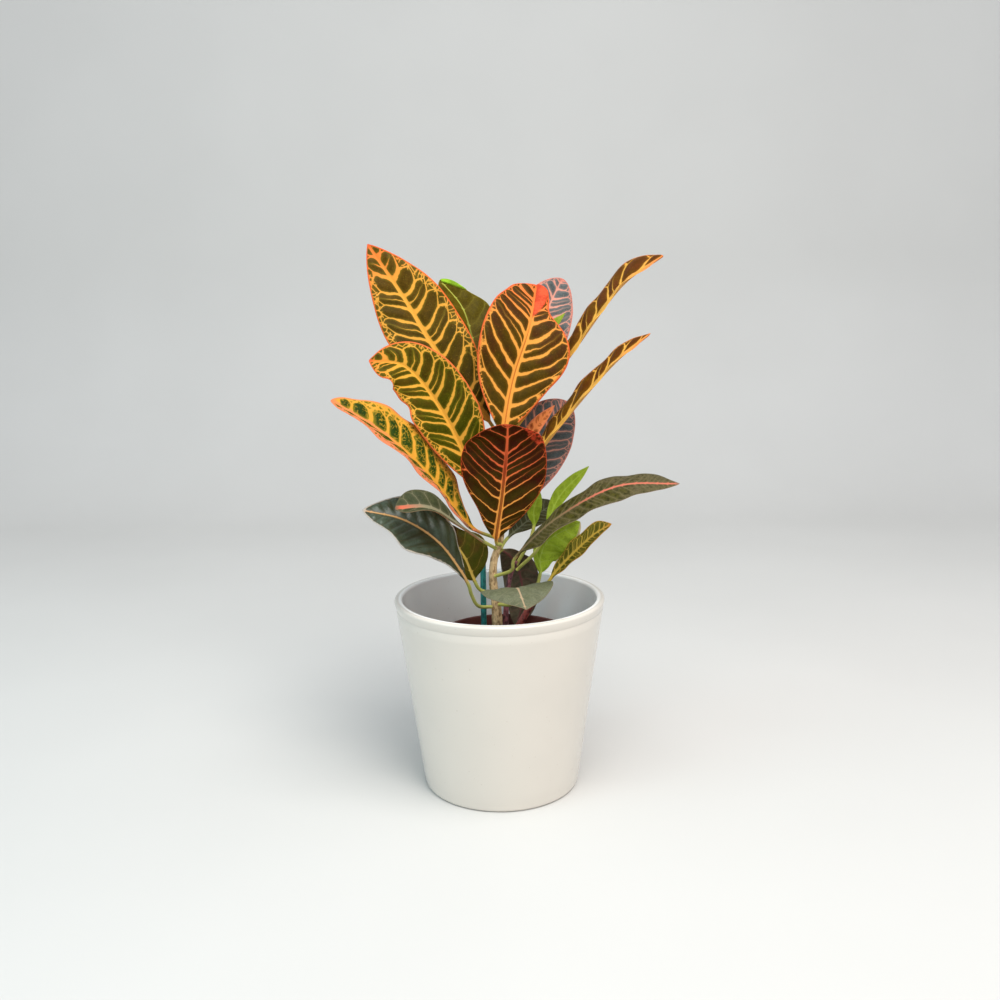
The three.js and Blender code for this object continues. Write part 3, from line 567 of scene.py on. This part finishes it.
class Nodes:
    """A material under construction, with short names for its nodes."""

    def __init__(self, name, roughness):
        self.material = bpy.data.materials.new(name)
        self.material.use_nodes = True
        self.tree = self.material.node_tree
        self.shader = self.tree.nodes["Principled BSDF"]
        self.shader.inputs["Roughness"].default_value = roughness
        self.place = self.put("TexCoord").outputs["Object"]

    def feed(self, socket, value):
        if isinstance(value, bpy.types.NodeSocket):
            self.tree.links.new(value, socket)
        else:
            socket.default_value = value

    def put(self, kind, inputs=None, **settings):
        node = self.tree.nodes.new("ShaderNode" + kind)
        for key, value in settings.items():
            setattr(node, key, value)
        for key, value in (inputs or {}).items():
            self.feed(node.inputs[key], value)
        return node

    def math(self, operation, a, b=0.0, c=0.0):
        return self.put("Math", {0: a, 1: b, 2: c}, operation=operation).outputs[0]

    def plus(self, a, b):
        return self.math("ADD", a, b)

    def minus(self, a, b):
        return self.math("SUBTRACT", a, b)

    def times(self, a, b):
        return self.math("MULTIPLY", a, b)

    def vector(self, operation, a, b=None, output="Vector"):
        inputs = {0: a} if b is None else {0: a, 1: b}
        return self.put("VectorMath", inputs, operation=operation).outputs[output]

    def value(self, name):
        """A measure that the mesh carries."""
        return self.put("Attribute", attribute_name=name).outputs["Fac"]

    def step(self, value, low, high):
        """0 below low, 1 above high, smooth between; low may be above high."""
        flip = float(low > high)
        ends = {"From Min": min(low, high), "From Max": max(low, high), "To Min": flip,
                "To Max": 1 - flip}
        node = self.put("MapRange", {"Value": value, **ends}, interpolation_type="SMOOTHSTEP")
        return node.outputs["Result"]

    def mix(self, share, a, b):
        """Colour a with a share of colour b; each is a socket or sRGB whole numbers."""
        a, b = (colour(c) if isinstance(c, (tuple, list)) else c for c in (a, b))
        return self.put("Mix", {0: share, 6: a, 7: b}, data_type="RGBA").outputs[2]

    def noise(self, size, detail=2.0, offset=0.0):
        """Noise from about 0.2 to 0.8, with features of that size in mm."""
        moved = self.vector("ADD", self.place, (offset, offset * 0.7, -offset))
        node = self.put("TexNoise", {"Vector": moved, "Scale": 1 / (size * MM), "Detail": detail})
        return node.outputs["Fac"]

    def cracks(self, size, offset=0.0):
        """Distance in mm to the nearest edge of an irregular net with cells of that size."""
        moved = self.vector("ADD", self.place, (offset, -offset, offset))
        bend = self.put("TexNoise", {"Vector": moved, "Scale": 0.7 / (size * MM),
                                     "Detail": 1.0}).outputs["Color"]
        moved = self.vector("ADD", moved, self.vector("MULTIPLY", bend, (size * MM * 0.9,) * 3))
        node = self.put("TexVoronoi", {"Vector": moved, "Scale": 1 / (size * MM)},
                        feature="DISTANCE_TO_EDGE")
        return self.times(node.outputs["Distance"], size)

    def bump(self, height, distance, strength=0.6):
        node = self.put("Bump", {"Height": height, "Distance": distance * MM,
                                 "Strength": strength})
        self.feed(self.shader.inputs["Normal"], node.outputs["Normal"])

    def paint(self, value):
        self.feed(self.shader.inputs["Base Color"], value)


# Noise that bends and colours the leaves, mm
SWAY_SIZE, FINE_SIZE, DARK_SIZE, SPECK_SIZE, STALK_SIZE = 14, 3.5, 1.3, 1.0, 5
# How far the slow and the fine noise push a vein, mm, and the shares of it that a side vein and the
# place of its fork take
SLOW_PUSH, FINE_PUSH, VEIN_SHARE, FORK_SHARE = 8.0, 3.0, 0.6, 0.7
# How soon a fork opens, and the power and strength with which it does
FORK_RATE, FORK_POWER, FORK_GAIN = 1.1, 1.5, 1.4
# Distance across a leaning side vein, and across a short one, per distance along the midrib
VEIN_ACROSS, SHORT_ACROSS = 0.8, 0.85
# Over how many mm side veins melt into the midrib, all of them into the margin, and finer lines in
RIB_MELT, RIM_MELT, FINE_MELT = 2.4, 1.2, 0.8
# Where a vein, the halo beside it and its own pure colour end and begin, mm from its edge
VEIN_EDGE, HALO_EDGE, HEART_EDGE = (0.3, -0.25), (2.0, 0.0), (-0.1, -0.8)


class LeafNodes(Nodes):
    """A leaf's material, with its mesh's measures and the noise that bends its veins."""

    def __init__(self, name, look, seed):
        super().__init__(name, look["rough"])
        self.offset = seed * 0.013
        self.along, self.reach, self.half, self.rim = (
            self.value(key) for key in ("along", "rib", "half", "rim"))
        self.sway = self.minus(self.noise(SWAY_SIZE, 1.0, self.offset), 0.5)
        self.fine = self.minus(self.noise(FINE_SIZE, 2.0, self.offset + 0.3), 0.5)


def vein_distance(m, look, spacing, seed):
    """Distance in mm from the edge of the nearest vein, below 0 on it.

    The side veins lie where the phase is whole. Where the margin is nearer than `fork`, each one
    opens into two lines that spread in phase until they meet their neighbours' half-way, as
    arches do; beyond those lies a net of small cells. The distances to all these lines, to the
    midrib and to the margin are joined by a smooth minimum.
    """
    push = m.plus(m.times(m.sway, SLOW_PUSH), m.times(m.fine, FINE_PUSH))
    phase = m.plus(m.value("vein"), m.times(push, VEIN_SHARE / spacing))
    depth = m.plus(m.math("MINIMUM", look["fork"], m.times(m.half, 0.5)),
                   m.times(push, FORK_SHARE))
    # 0.5 on a side vein and 0 half-way between two
    place = m.math("ABSOLUTE", m.minus(m.math("FRACT", phase), 0.5))
    # How far the fork has spread
    opened = m.times(m.minus(depth, m.rim), FORK_RATE / spacing)
    opened = m.math("POWER", m.math("MAXIMUM", opened, 0.0), FORK_POWER)
    opened = m.math("MINIMUM", m.times(opened, FORK_GAIN), 0.5)
    to_line = m.math("ABSOLUTE", m.plus(m.minus(place, 0.5), opened))
    to_line = m.times(to_line, VEIN_ACROSS * spacing)
    # Side veins thin from midrib to margin
    outward = m.math("DIVIDE", m.reach, m.half)
    taper = m.minus(1.3, m.times(outward, 0.95))
    width = m.times(m.times(taper, look["side"]), m.plus(m.times(m.sway, 1.2), 1.0))
    side = m.minus(to_line, width)
    rib = m.minus(1.05, m.times(m.along, look["thin"]))
    rib = m.minus(m.reach, m.times(rib, look["rib"]))
    band = m.times(look["band"], m.plus(m.times(m.fine, 1.6), 1.0))
    band = m.minus(m.rim, band)
    edge = m.math("SMOOTH_MIN", side, rib, RIB_MELT)
    edge = m.math("SMOOTH_MIN", edge, band, RIM_MELT)
    if look["net"]:
        within = m.minus(m.rim, m.minus(depth, 0.3 * spacing))
        lace = look.get("lace", 0.2 * look["side"] + 0.1)
        net = m.minus(m.cracks(look["net"], m.offset), lace)
        net = m.plus(net, m.math("MAXIMUM", within, 0.0))
        edge = m.math("SMOOTH_MIN", edge, net, FINE_MELT)
    if look["short"]:
        chosen = m.put("TexWhiteNoise", {"W": m.plus(m.math("FLOOR", phase), seed)},
                       noise_dimensions="1D").outputs["Value"]
        stop = m.minus(1.0, m.times(outward, 1.8))
        stop = m.times(stop, 0.6 * look["side"])
        short = m.minus(m.times(place, SHORT_ACROSS * spacing), stop)
        # Out of reach in the cells that have none
        short = m.plus(short, m.times(m.math("GREATER_THAN", chosen, look["short"]), 5.0))
        edge = m.math("SMOOTH_MIN", edge, short, FINE_MELT)
    return edge


def leaf_material(name, row, seed):
    """A croton leaf: coloured veins on dark cells, the underside, a patch and the stalk."""
    look = {**PLAIN_LOOK, **LOOKS[row["look"]]}
    m = LeafNodes(name, look, seed)
    m.shader.inputs["Specular IOR Level"].default_value = look["gloss"]
    edge = vein_distance(m, look, float(row["spacing"]), seed)
    mask, halo, heart = (m.step(edge, *limits) for limits in (VEIN_EDGE, HALO_EDGE, HEART_EDGE))

    # Veins
    tip = m.step(m.along, look["onset"], look["onset"] + 0.3)
    if look["narrow"]:
        tip = m.times(tip, m.step(m.reach, 3.5, 1.5))
    vein = m.mix(m.times(tip, 0.9), look["vein"], look["end"])
    vein = m.mix(m.times(m.minus(1.0, heart), 0.12), vein, look["halo"])
    if "blush" in row:
        vein = m.mix(m.value("blush"), vein, look["rim"])
    vein = m.mix(m.times(m.step(m.rim, 3.0, 0.0), 0.85), vein, look["rim"])

    # Cells
    dark = m.noise(DARK_SIZE, 3.0, m.offset + 0.7)
    blotch = m.noise(look["grain"], 3.0, m.offset + 0.9)
    far = m.step(m.plus(m.along, m.times(m.sway, 1.5)), 0.25, 0.8)
    cell = m.mix(far, look["cell"], look["far"])
    deep = darker(look["cell"], 0.62)
    cell = m.mix(m.times(m.step(dark, 0.35, 0.7), 0.4), cell, deep)
    cell = m.mix(m.times(m.step(blotch, 0.4, 0.7), look["mottle"]), cell, deep)
    # Sparse pale specks on the cells: partly dust, partly painted tiny highlights
    speck = m.step(m.noise(SPECK_SIZE, 0.0, m.offset + 1.1), 0.7, 0.76)
    cell = m.mix(m.times(speck, 0.5), cell, look["halo"])
    cell = m.mix(m.times(halo, 0.6), cell, look["halo"])
    if look["hair"]:
        hair = m.times(m.step(m.cracks(look["hair"], m.offset + 0.2), 0.5, 0.1),
                       m.step(m.fine, -0.05, 0.08))
        cell = m.mix(m.times(hair, 0.7), cell, m.mix(0.4, look["halo"], look["vein"]))

    # The two sides
    blade = m.mix(mask, cell, vein)
    if look["line"]:
        seam = m.times(m.step(m.reach, look["line"] + 0.3, look["line"] - 0.1),
                       m.step(m.along, 0.85, 0.55))
        blade = m.mix(m.times(seam, 0.8), blade, look["seam"])
    if row["look"] not in UNDERSIDE_LOOKS:
        under_cell = m.mix(m.times(blotch, 0.9), cell, UNDER_CELL)
        under = m.mix(mask, under_cell, m.mix(0.5, UNDER_VEIN, vein))
        blade = m.mix(m.value("under"), blade, under)
    if "patch" in row:
        share = m.value("patch")
        if "broken" in row:
            share = m.times(share, m.step(m.fine, -0.1, 0.1))
        rgb = row["patch"][6]
        streak = m.step(m.plus(dark, m.times(m.sway, 1.5)), 0.4, 0.65)
        streaked = m.mix(m.times(streak, 0.75), rgb, darker(rgb, 0.72))
        blade = m.mix(share, blade, streaked)
    # Painted light: one half of the blade painted all over in the veins' colours, as if lit.
    if "lit_half" in row:
        gold = m.mix(m.step(m.along, 0.7, 1.0), look["vein"], look["end"])
        blade = m.mix(m.value("lit_half"), blade, gold)
    stalk = m.mix(m.noise(STALK_SIZE, 2.0, m.offset), STALK_GREEN, STALK_STRAW)
    m.paint(m.mix(m.step(m.along, 0.02, -0.06), blade, stalk))
    m.bump(m.plus(m.times(mask, -0.5), m.times(dark, 0.3)), 0.3, 0.4)
    return m.material


def tube(name, points, radii, sides, rings, height):
    """A round stem: rings of radius 0.98 r(s) and a low relief about the curve through the points.

    The relief, of `height` mm, is a ring-shaped scar |sin(s/3.1 + 0.8 sin a)|^12 every 10 mm or so,
    with two sines of 5 and 9 ribs that wind round the stem, at the angle a.
    """
    u, length = by_length(points)
    s = np.linspace(0, length[-1], rings)
    place = np.interp(s, length, u)
    centre, along = curve(points, place)
    side = unit(np.cross(along, np.array([0.0, -1, 0])))
    out = np.cross(side, along)
    radius = np.interp(place, np.linspace(0, 1, len(radii)), radii)[:, None]
    angle = 2 * math.pi * np.arange(sides) / sides
    s = s[:, None]
    scar = np.abs(np.sin(s / 3.1 + np.sin(angle) * 0.8)) ** 12
    relief = height * (scar + 0.35 * np.sin(5 * angle + s / 7) + 0.3 * np.sin(9 * angle - s / 2))
    radius = radius * 0.98 + relief - height * 0.6
    ring = (centre[:, None] + side[:, None] * (radius * np.cos(angle))[..., None]
            + out[:, None] * (radius * np.sin(angle))[..., None])
    return closed_stack(name, ring, centre[[0, -1]])


def turned(name, profile, sides, centre=(0, 0)):
    """A turned piece: the profile's radius and height carried round the axis."""
    profile = np.asarray(profile, float)
    angle = 2 * math.pi * np.arange(sides) / sides
    radius, height = profile[1:-1, :1], profile[1:-1, 1:]
    ring = np.stack([centre[0] + radius * np.cos(angle), centre[1] + radius * np.sin(angle),
                     np.broadcast_to(height, (len(height), sides))], axis=-1)
    return closed_stack(name, ring, [[*centre, z] for z in profile[[0, -1], 1]])


def arc(radius, height, size, start, end, steps):
    """Points of a profile on a circle of that size about (radius, height), in degrees."""
    angle = np.radians(np.linspace(start, end, steps))
    return np.stack([radius + size * np.cos(angle), height + size * np.sin(angle)], axis=1).tolist()


def line(a, b, steps):
    """Even points of a profile between a and b, without a and b themselves."""
    return np.linspace(a, b, steps + 2)[1:-1].tolist()


# The cover pot: height, radius at rim and base, wall, floor, and the roundings of lip, foot and
# inner floor
HEIGHT, RIM, BASE, WALL, FLOOR, LIP, FOOT, COVE = 158, 85, 63.5, 6.6, 8, 2, 3, 6
SLOPE = (RIM - BASE) / HEIGHT
# The groove that sets off the band below the lip: height, and depth from the wall's face
BAND_GROOVE = [(149.4, 0.1), (150, 0.5), (150.6, 0.2), (151.5, 0)]
BAND_LOW = 148


def outer(z):
    return BASE + SLOPE * z


def inner(z):
    return outer(z) - WALL


cover = turned("cover_pot", [
    [0, 0], [30, 0], [55, 0],
    *arc(BASE - FOOT, FOOT, FOOT, -90, 0, 10),
    *line([outer(FOOT), FOOT], [outer(BAND_LOW), BAND_LOW], 24),
    *[[outer(z) - depth, z] for z, depth in BAND_GROOVE],
    *arc(RIM - LIP, HEIGHT - LIP, LIP, 0, 90, 10),
    *arc(RIM - WALL + LIP, HEIGHT - LIP, LIP, 90, 180, 10),
    *line([inner(HEIGHT - LIP), HEIGHT - LIP], [inner(FLOOR + COVE), FLOOR + COVE], 20),
    *arc(inner(FLOOR) - COVE, FLOOR + COVE, COVE, 0, -90, 10),
    [20, FLOOR], [0, FLOOR]], sides=192)

# The nursery pot, just off the cover pot's floor and a little to the right: heights of its foot,
# its rim and the soil in it; radii at foot and rim, wall, and the soil's inset from its outside
N_FOOT, N_RIM, N_SOIL = 8.3, 125, 115
N_BASE, N_TOP, N_WALL, N_INSET = 41, 54, 1.4, 2.1
N_CENTRE = (4, 0)
N_SLOPE = (N_TOP - N_BASE) / (N_RIM - N_FOOT)
# The stepped band at its rim, from outside over the top to the inside
N_BAND = [[54.9, 116.6], [55.1, 117.2], [55.5, 124.4], [55.2, 124.9], [54.8, N_RIM], [53, N_RIM],
          [52.7, 124.7], [52.6, 124.2]]


def n_outer(z):
    return N_BASE + N_SLOPE * (z - N_FOOT)


nursery = turned("nursery_pot", [
    [0, N_FOOT], [20, N_FOOT], [39, N_FOOT],
    *arc(40, N_FOOT + 1, 1, -90, 0, 5),
    *line([n_outer(10), 10], [n_outer(115.5), 115.5], 14),
    [n_outer(116), 116], *N_BAND,
    *line([n_outer(124) - N_WALL, 124], [n_outer(11) - N_WALL, 11], 14),
    [38, 9.7], [0, 9.7]], sides=128, centre=N_CENTRE)


def hills(x, y):
    """Crumbly height: sines whose direction turns by the golden angle, each finer and lower."""
    total = np.zeros_like(x)
    for k in range(1, 26):
        turn = 2.4 * k
        pitch = 16 / 1.13**k
        way = (x * math.cos(turn) + y * math.sin(turn)) * 2 * math.pi / pitch
        total += (0.10 * pitch**0.9) * np.sin(way + k * k)
    return total


def soil_piece(rings=70, sides=220, crown=1.4):
    """The soil: a polar grid with a crumbly, slightly domed top, over the plain side and floor."""
    floor = N_FOOT + 1.7
    x_centre, y_centre = N_CENTRE
    angle = 2 * math.pi * np.arange(sides) / sides
    edge = n_outer(N_SOIL) - N_INSET
    radius = ((np.arange(rings) / (rings - 1)) ** 0.8)[1:, None] * edge
    x, y = radius * np.cos(angle), radius * np.sin(angle)
    inward = edge - radius
    crumbs = np.clip(hills(x, y), -1.6, 1.0) * smooth(inward / 2)
    top = np.stack([x + x_centre, y, N_SOIL + crown * smooth(inward / 24) + crumbs], axis=-1)[::-1]
    low = n_outer(floor) - N_INSET
    foot = np.stack([x_centre + low * np.cos(angle), low * np.sin(angle), np.full(sides, floor)],
                    axis=-1)
    ends = [[x_centre, y_centre, z] for z in (floor, N_SOIL + crown)]
    return closed_stack("soil", np.concatenate([foot[None], top]), ends)


soil = soil_piece()


def glaze():
    """White glaze, a little warmer outside the pot than inside, with faint haze and few specks.

    Inside it is painted paler: painted light in the shaded inside of the pot.
    """
    m = Nodes("glaze", 0.16)
    speck = m.step(m.noise(2.2, 1.0, 0.4), 0.74, 0.8)
    outside = m.mix(m.noise(60, 2.0), (211, 204, 193), (221, 213, 201))
    # Inside, where the distance from the axis is less than the middle of the wall's, the glaze is
    # painted paler: painted light in the shaded inside of the pot
    radius = m.vector("LENGTH", m.vector("MULTIPLY", m.place, (1, 1, 0)), output="Value")
    height = m.put("SeparateXYZ", {0: m.place}).outputs[2]
    middle = m.plus(m.times(height, SLOPE), (BASE - WALL / 2) * MM)
    within = m.step(m.minus(middle, radius), -MM, MM)
    body = m.mix(within, outside, (248, 247, 243))
    m.paint(m.mix(m.times(speck, 0.25), body, (170, 150, 130)))
    wiped = m.put("Mix", {0: m.noise(20, 3.0, 0.2), 2: 0.12, 3: 0.24}, data_type="FLOAT")
    m.feed(m.shader.inputs["Roughness"], wiped.outputs[0])
    m.shader.inputs["Coat Weight"].default_value = 0.4
    m.shader.inputs["Coat Roughness"].default_value = 0.06
    m.bump(m.noise(12, 1.0, 0.6), 0.1, 0.4)
    return m.material


def plastic():
    """Matt terracotta-brown plastic, unevenly dusty."""
    m = Nodes("nursery_plastic", 0.55)
    m.paint(m.mix(m.noise(9, 4.0), (104, 44, 30), (74, 30, 22)))
    m.bump(m.noise(0.8, 2.0), 0.12, 0.5)
    return m.material


def peat():
    """Dark red-brown peat: fine grains, with paler fibres in the middle of some crumbs."""
    m = Nodes("soil", 0.95)
    grain = m.noise(1.6, 5.0)
    shade = m.mix(m.step(grain, 0.35, 0.65), (30, 12, 8), (92, 42, 28))
    fibre = m.step(m.cracks(2.6), 0.75, 1.0)
    m.paint(m.mix(m.times(fibre, 0.35), shade, (128, 84, 56)))
    m.bump(grain, 1.2, 0.9)
    return m.material


def bark(name, light, dark, spots, rough):
    """Bark: long streaks of the light and the dark colour along the stem, with spots of a third."""
    m = Nodes(name, rough)
    stretch = m.put("Mapping", {"Vector": m.place, "Scale": (1, 1, 0.22)}).outputs[0]
    streak = m.put("TexNoise", {"Vector": stretch, "Scale": 700.0, "Detail": 4.0})
    spot = m.step(m.noise(2.4, 1.0, 0.4), 0.62, 0.74)
    both = m.plus(streak.outputs["Fac"], m.noise(4, 3.0, 0.2))
    body = m.mix(m.step(both, 0.8, 1.15), dark, light)
    m.paint(m.mix(m.times(spot, 0.35), body, spots))
    m.bump(m.plus(both, m.times(spot, 0.5)), 0.6, 0.8)
    return m.material


cover.data.materials.append(glaze())
nursery.data.materials.append(plastic())
soil.data.materials.append(peat())

# Height of the bark's relief in mm, its light, dark and spot colours, and its roughness
STEM_LOOKS = {
    "main_stem": [0.22, (214, 182, 134), (140, 108, 70), (104, 72, 48), 0.8],
    "second_stem": [0.08, (146, 88, 92), (66, 38, 40), (176, 92, 112), 0.6],
    "side_shoot": [0.08, (160, 72, 62), (84, 30, 30), (206, 132, 112), 0.5],
}
for stem_name, stem in STEMS.items():
    relief, *shades = STEM_LOOKS[stem_name]
    piece = tube(stem_name, stem["points"], stem["radii"], 40, 220, relief)
    piece.data.materials.append(bark(stem_name, *shades))

stake = tube("stake", STAKE["points"], [STAKE["radius"]] * 3, 24, 60, 0.04)
stake.data.materials.append(bark("stake_wood", (34, 128, 122), (10, 78, 78), (20, 96, 92), 0.6))

# Each leaf's own noise follows from its place in the table
FIRST_SEED = 11
for seed, (leaf_name, row) in enumerate(LEAVES.items(), FIRST_SEED):
    leaf(leaf_name, {**PLAIN_LEAF, **row}, seed)

# The stage, in metres: a pale floor that curves up into a backdrop
HALF_WIDTH, FRONT, BEND, ROUND, TOP = 3.0, -2.0, 1.0, 0.5, 2.6
sweep = [[FRONT, 0.0], [BEND, 0.0],
         *[[BEND + ROUND * math.sin(a), ROUND - ROUND * math.cos(a)]
           for a in np.linspace(0.1, math.pi / 2, 14).tolist()],
         [BEND + ROUND, TOP]]
floor_mesh = bpy.data.meshes.new("floor")
corners = [[x, y, z] for y, z in sweep for x in (-HALF_WIDTH, HALF_WIDTH)]
quads = [[2 * i, 2 * i + 1, 2 * i + 3, 2 * i + 2] for i in range(len(sweep) - 1)]
floor_mesh.from_pydata(corners, [], quads)
floor_mesh.shade_smooth()
floor = add_object("floor", floor_mesh)
pale = Nodes("floor", 0.7)
pale.paint(pale.mix(pale.noise(300, 2.0), (202, 200, 196), (210, 208, 204)))
floor_mesh.materials.append(pale.material)

# Soft round lamps: place, point aimed at and width in metres, watts and tint
LIGHTS = {
    "key": [(0.45, -1.05, 1.35), (0, 0, 0.25), 0.8, 9, (1.0, 0.94, 0.87)],
    "fill": [(-1.2, -0.7, 0.9), (0, 0, 0.22), 1.0, 3.6, (0.25, 0.82, 1.0)],
    "top": [(0.2, -0.5, 1.6), (0, 0, 0.15), 0.9, 18, (1.0, 0.99, 0.97)],
}
for light_name, (place, aim, width, watts, tint) in LIGHTS.items():
    lamp = bpy.data.lights.new(light_name, "AREA")
    lamp.shape, lamp.size, lamp.energy, lamp.color = "DISK", width, watts, tint
    holder = add_object(light_name, lamp)
    holder.location = place
    holder.rotation_euler = (Vector(aim) - Vector(place)).to_track_quat("-Z", "Y").to_euler()
world = bpy.data.worlds.new("world")
world.use_nodes = True
background = world.node_tree.nodes["Background"].inputs
background["Color"].default_value = (0.8, 0.84, 0.9, 1)
background["Strength"].default_value = 0.88
bpy.context.scene.world = world
bpy.context.scene.view_settings.view_transform = "Standard"

# The camera: its place in metres, and how it looks down and leans, in degrees
CAMERA_PLACE, PITCH, ROLL, SHIFT = (0.0019, -0.784, 0.3845), 10.7, -0.75, -0.0005
lens = bpy.data.cameras.new("camera")
lens.lens = lens.sensor_width = 36
lens.shift_x = SHIFT
camera = add_object("camera", lens)
pitch, roll = math.radians(PITCH), math.radians(ROLL)
ahead = Vector((0, math.cos(pitch), -math.sin(pitch)))
right = Vector((1, 0, 0))
over = Vector((0, math.sin(pitch), math.cos(pitch)))
right, over = (right * math.cos(roll) + over * math.sin(roll),
               over * math.cos(roll) - right * math.sin(roll))
camera.matrix_world = Matrix.Translation(CAMERA_PLACE) @ Matrix(
    (right, over, -ahead)).transposed().to_4x4()
bpy.context.scene.camera = camera
